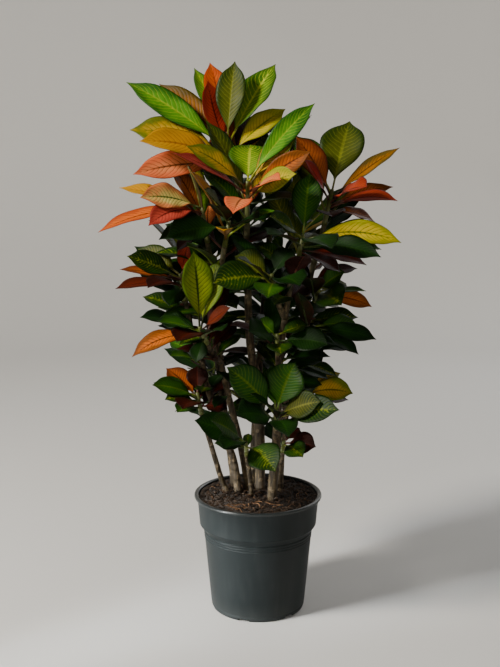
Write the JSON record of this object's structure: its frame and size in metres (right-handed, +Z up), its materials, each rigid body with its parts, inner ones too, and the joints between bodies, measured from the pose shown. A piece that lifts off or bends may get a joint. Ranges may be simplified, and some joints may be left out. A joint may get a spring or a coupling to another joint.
{
  "type": "potted croton",
  "caption": "Bushy potted houseplant with woody stems and rosettes of broad multicoloured leaves, in a tapered plastic pot with a wide rim band.",
  "frame": {"origin": "centre of the pot's foot, on the surface that it stands on", "axes": "+Z up along the pot's axis, -Y towards the front of the picture, +X to its right"},
  "size_m": [0.5312, 0.4512, 1.0193],
  "materials": {
    "pot_plastic": "satin",
    "potting_mix": "matte",
    "bark": "matte",
    "upper_leaves": "satin",
    "lower_leaves": "gloss"
  },
  "bodies": {
    "root": {"pot": "pot_plastic", "potting_mix": "potting_mix", "stem_left_thin": "bark", "stem_left": "bark", "stem_left_inner": "bark", "stem_centre": "bark", "stem_right_front": "bark", "stem_right": "bark", "stem_back": "bark", "stem_back_left": "bark", "stem_front_thin": "bark", "shoot_crown": "upper_leaves", "shoot_front_upper": "upper_leaves", "shoot_right_upper": "upper_leaves", "shoot_right_front": "upper_leaves", "shoot_left_upper": "upper_leaves", "shoot_centre_upper": "upper_leaves", "shoot_left": "lower_leaves", "shoot_left_lower": "lower_leaves", "shoot_left_low": "lower_leaves", "shoot_front": "lower_leaves", "shoot_front_low": "lower_leaves", "shoot_right_low": "lower_leaves", "shoot_right_lowest": "lower_leaves", "shoot_centre": "lower_leaves", "shoot_centre_low": "lower_leaves", "shoot_right": "lower_leaves", "shoot_right_mid": "lower_leaves", "shoot_back_top": "upper_leaves", "shoot_back_left_top": "upper_leaves", "shoot_back_right": "upper_leaves", "shoot_back_left": "lower_leaves", "shoot_back_mid": "lower_leaves", "shoot_back_left_low": "lower_leaves", "shoot_back_low": "lower_leaves"}
  },
  "joints": []
}
